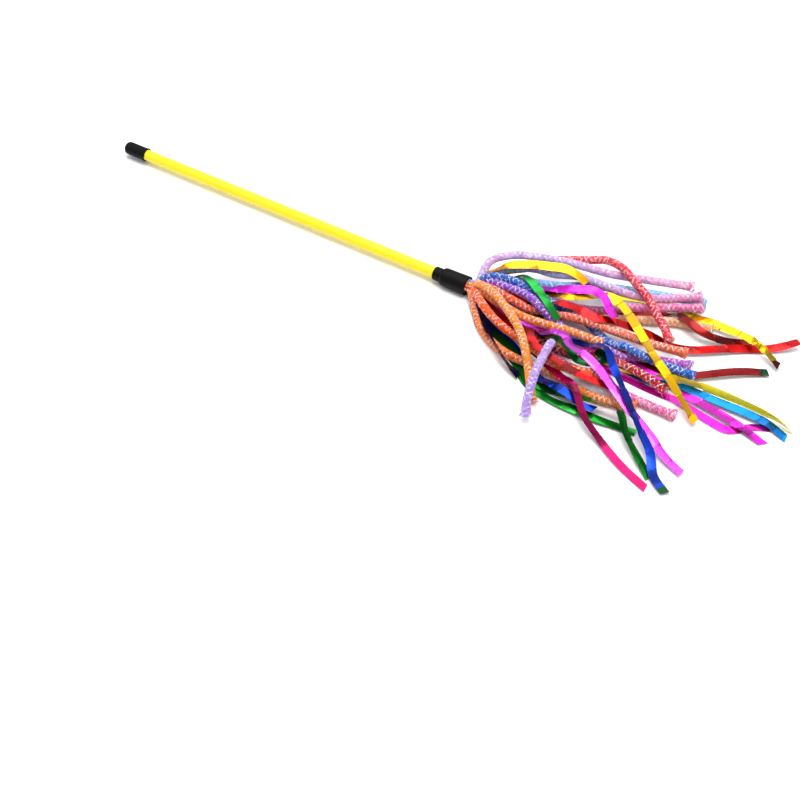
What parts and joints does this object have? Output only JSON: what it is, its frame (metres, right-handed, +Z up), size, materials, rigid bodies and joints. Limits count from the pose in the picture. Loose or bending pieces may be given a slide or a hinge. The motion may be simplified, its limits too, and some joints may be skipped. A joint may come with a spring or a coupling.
{
  "type": "cat teaser wand",
  "caption": "Hollow rod with a push-on end cap and a sleeve that holds a bound bunch of net tubes and foil ribbons, which swings at the sleeve's mouth.",
  "frame": {"origin": "on the rod's axis, at the rod's capped end, where the cap's straight grip begins", "axes": "+X along the rod from the capped end to the tassel, +Z up from the surface that the wand lies on, +Y to the left as seen along +X"},
  "size_m": [0.5308, 0.18, 0.0255],
  "materials": {
    "rod_plastic": "satin",
    "black_rubber": "satin",
    "hot_glue": "matte",
    "packed_strands": "matte",
    "tie_wire": "satin",
    "net_lilac_arch": "woven nylon net, matte",
    "net_rose_arch": "woven nylon net, matte",
    "net_blue": "woven nylon net, matte",
    "net_purple": "woven nylon net, matte",
    "net_amber": "woven nylon net, matte",
    "net_orange": "woven nylon net, matte",
    "net_flame": "woven nylon net, matte",
    "net_tangerine": "woven nylon net, matte",
    "net_coral": "woven nylon net, matte",
    "net_lilac_tail": "woven nylon net, matte",
    "net_pale_blue": "woven nylon net, matte",
    "net_pink": "woven nylon net, matte",
    "net_peach": "woven nylon net, matte",
    "net_crimson": "woven nylon net, matte",
    "net_rose_low": "woven nylon net, matte",
    "net_white": "woven nylon net, matte",
    "foil_gold_short": "metallised film, shiny",
    "foil_two_tone": "metallised film, shiny",
    "foil_green_band": "metallised film, shiny",
    "foil_magenta": "metallised film, shiny",
    "foil_red_long": "metallised film, shiny",
    "foil_wine_curve": "metallised film, shiny",
    "foil_gold_knot": "metallised film, shiny",
    "foil_ruby": "metallised film, shiny",
    "foil_azure": "metallised film, shiny",
    "foil_gold_edge": "metallised film, shiny",
    "foil_fuchsia": "metallised film, shiny",
    "foil_fuchsia_edge": "metallised film, shiny",
    "foil_orchid": "metallised film, shiny",
    "foil_navy": "metallised film, shiny",
    "foil_fern": "metallised film, shiny",
    "foil_green_arc": "metallised film, shiny",
    "foil_cobalt": "metallised film, shiny",
    "foil_hot_pink": "metallised film, shiny",
    "foil_scarlet": "metallised film, shiny",
    "foil_ink": "metallised film, shiny",
    "foil_green_curl": "metallised film, shiny"
  },
  "bodies": {
    "handle": {"rod_tube": "rod_plastic", "end_cap": "black_rubber", "sleeve": "black_rubber", "glue_plug": "hot_glue", "bundle_root": "packed_strands", "tie_wire": "tie_wire"},
    "neck": {"bundle_gather": "packed_strands"},
    "tassel": {"net_lilac_arch": "net_lilac_arch", "net_rose_arch": "net_rose_arch", "net_blue": "net_blue", "net_purple": "net_purple", "net_amber": "net_amber", "net_orange": "net_orange", "net_flame": "net_flame", "net_tangerine": "net_tangerine", "net_coral": "net_coral", "net_lilac_tail": "net_lilac_tail", "net_pale_blue": "net_pale_blue", "net_pink": "net_pink", "net_peach": "net_peach", "net_crimson": "net_crimson", "net_rose_low": "net_rose_low", "net_white": "net_white", "foil_gold_short": "foil_gold_short", "foil_two_tone": "foil_two_tone", "foil_green_band": "foil_green_band", "foil_magenta": "foil_magenta", "foil_red_long": "foil_red_long", "foil_wine_curve": "foil_wine_curve", "foil_gold_knot": "foil_gold_knot", "foil_ruby": "foil_ruby", "foil_azure": "foil_azure", "foil_gold_edge": "foil_gold_edge", "foil_fuchsia": "foil_fuchsia", "foil_fuchsia_edge": "foil_fuchsia_edge", "foil_orchid": "foil_orchid", "foil_navy": "foil_navy", "foil_fern": "foil_fern", "foil_green_arc": "foil_green_arc", "foil_cobalt": "foil_cobalt", "foil_hot_pink": "foil_hot_pink", "foil_scarlet": "foil_scarlet", "foil_ink": "foil_ink", "foil_green_curl": "foil_green_curl"}
  },
  "joints": [
    {"name": "tassel_swing", "type": "hinge", "parent": "handle", "child": "neck", "pos_m": [0.293, 0, 0], "axis": [0, 0, 1], "range_deg": [-30, 30]},
    {"name": "tassel_lift", "type": "hinge", "parent": "neck", "child": "tassel", "pos_m": [0.293, 0, 0], "axis": [0, -1, 0], "range_deg": [-30, 20]}
  ]
}
